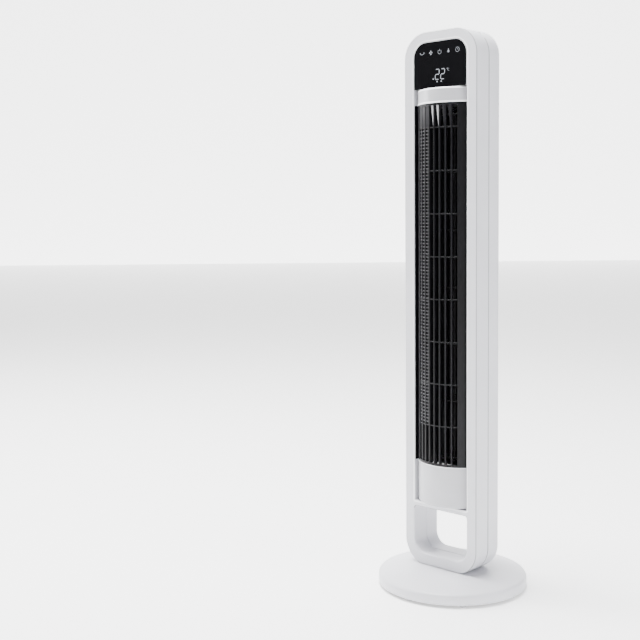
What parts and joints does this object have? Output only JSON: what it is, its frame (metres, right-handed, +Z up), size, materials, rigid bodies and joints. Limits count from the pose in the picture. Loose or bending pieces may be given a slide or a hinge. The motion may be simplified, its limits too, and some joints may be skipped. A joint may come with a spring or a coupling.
{
  "type": "tower fan",
  "caption": "Free-standing tower fan: hoop-shaped white housing with a flat display, convex black grille, cross-flow impeller and carrying handle, swinging on a round base.",
  "frame": {"origin": "on the floor under the swing axis, at the centre of the round base", "axes": "+Z up along the tower, the display and grille face -Y, +X to the viewer's right when facing the fan"},
  "size_m": [0.3, 0.3, 1.112],
  "materials": {
    "white_housing": "satin white moulded ABS",
    "black_inner": "black moulded ABS",
    "steel_ballast": "raw cast ballast",
    "rubber_foot": "light grey moulded rubber",
    "steel_plated": "zinc-plated steel",
    "rubber_black": "moulded rubber",
    "acetal_white": "moulded acetal",
    "display_black": "gloss black acrylic",
    "circuit_green": "solder-masked circuit board",
    "module_white": "moulded light block",
    "black_grille": "satin black moulded ABS",
    "black_mesh": "black nylon mesh",
    "white_intake": "white moulded ABS",
    "copper_core": "laminations and copper windings",
    "bronze": "sintered bronze",
    "impeller_grey": "dark grey glass-filled moulding"
  },
  "bodies": {
    "base": {"base_shell": "white_housing", "base_plate": "black_inner", "base_weight": "steel_ballast", "base_feet": "rubber_foot", "base_screws": "steel_plated", "cord_bush": "rubber_black", "pivot_bush": "acetal_white", "thrust_washer": "acetal_white", "swing_motor": "steel_plated", "swing_motor_screws": "steel_plated"},
    "tower": {"pivot_hub": "acetal_white", "swing_gear": "acetal_white", "hub_retainer": "steel_plated", "hub_screws": "steel_plated", "frame_front": "white_housing", "frame_rear": "white_housing", "frame_screws": "steel_plated", "display_lens": "display_black", "display_tray": "black_inner", "display_board": "circuit_green", "digit_module": "module_white", "touch_pads": "rubber_black", "remote_receiver": "black_inner", "main_board": "circuit_green", "wifi_module": "steel_plated", "buzzer": "black_inner", "lower_panel": "white_housing", "upper_panel": "white_housing", "front_grille": "black_grille", "mesh_insert": "black_mesh", "rear_housing": "white_housing", "intake_grille": "white_intake", "rear_cover": "white_housing", "motor_deck": "black_inner", "bearing_deck": "black_inner", "scroll_wall": "black_inner", "tongue": "black_inner", "power_board": "circuit_green", "motor_can": "steel_plated", "motor_stator": "copper_core", "motor_bearing_low": "bronze", "motor_bearing_high": "bronze", "motor_mounts": "rubber_black", "motor_screws": "steel_plated", "top_bearing": "bronze", "bearing_rubber": "rubber_black"},
    "pinion": {"swing_pinion": "acetal_white", "swing_motor_shaft": "steel_plated"},
    "impeller": {"impeller_segment_1": "impeller_grey", "impeller_segment_2": "impeller_grey", "impeller_segment_3": "impeller_grey", "impeller_segment_4": "impeller_grey", "impeller_segment_5": "impeller_grey", "impeller_segment_6": "impeller_grey", "impeller_hub": "impeller_grey", "impeller_cap": "impeller_grey", "impeller_stub": "steel_plated", "motor_shaft": "steel_plated", "motor_rotor": "steel_plated"}
  },
  "joints": [
    {"name": "tower_swing", "type": "hinge", "parent": "base", "child": "tower", "pos_m": [0, 0, 0.04], "axis": [0, 0, 1], "range_deg": [-40, 40]},
    {"name": "impeller_spin", "type": "hinge", "parent": "tower", "child": "impeller", "pos_m": [0, 0.022, 0.6], "axis": [0, 0, 1], "continuous": true},
    {"name": "pinion_spin", "type": "hinge", "parent": "base", "child": "pinion", "pos_m": [0, 0.0375, 0.03], "axis": [0, 0, 1], "range_deg": [-160, 160]}
  ],
  "couplings": [
    {"joint": "pinion_spin", "follows": "tower_swing", "ratio": -4}
  ]
}
